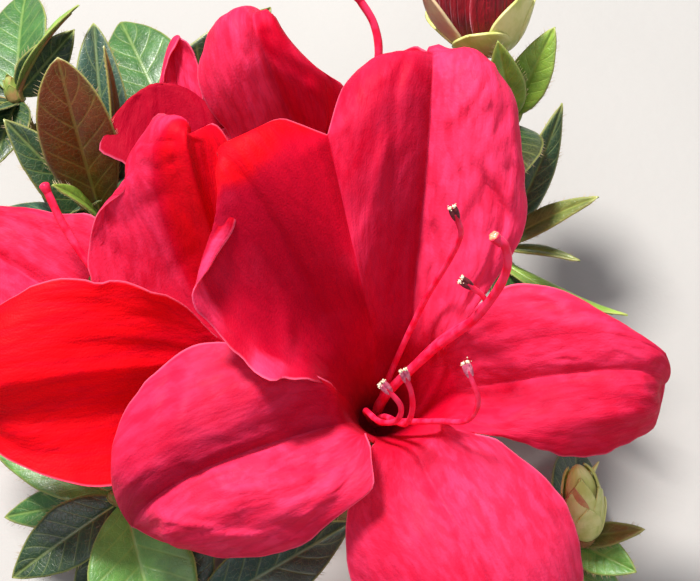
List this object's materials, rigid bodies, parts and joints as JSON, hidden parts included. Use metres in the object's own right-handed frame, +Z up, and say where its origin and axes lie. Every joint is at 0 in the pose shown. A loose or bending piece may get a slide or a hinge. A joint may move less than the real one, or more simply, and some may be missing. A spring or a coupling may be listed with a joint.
{
  "type": "azalea flower branch",
  "caption": "Cut branch of a red garden azalea lying on the ground: open blooms with stamens, a furled bud, a scaly bud and leafy side shoots.",
  "frame": {"origin": "on the ground, under the middle of the branch's bounding box", "axes": "+Z up from the ground it lies on; +Y runs from the stem's cut end towards the blooms and buds; +X to the right as seen from the cut end"},
  "size_m": [0.1173, 0.175, 0.0686],
  "materials": {
    "petals": "soft satin petal, fine veins",
    "leaves": "leathery, slightly glossy",
    "stalks": "matt, finely hairy",
    "bark": "rough young bark",
    "bud_petals": "satin, furled",
    "bud_scales": "papery overlapping scales"
  },
  "bodies": {
    "root": {"bloom_back": "petals", "bloom_front": "petals", "bloom_left": "petals", "bough_back": "bark", "bough_far_left": "bark", "bough_low_left": "bark", "bough_low_middle": "bark", "bough_low_right": "bark", "bough_right": "bark", "bough_stem_left": "bark", "bough_stem_right": "bark", "bough_top": "bark", "bough_under_bud": "bark", "bough_upper_left": "bark", "bud_pale": "bud_scales", "bud_red": "bud_petals", "leaves_back": "leaves", "leaves_far_left": "leaves", "leaves_low_left": "leaves", "leaves_low_middle": "leaves", "leaves_low_right": "leaves", "leaves_right": "leaves", "leaves_stem_left": "leaves", "leaves_stem_right": "leaves", "leaves_top": "leaves", "leaves_under_bud": "leaves", "leaves_upper_left": "leaves", "stalk_back": "stalks", "stalk_front": "stalks", "stalk_left": "stalks", "stem": "bark"}
  },
  "joints": []
}
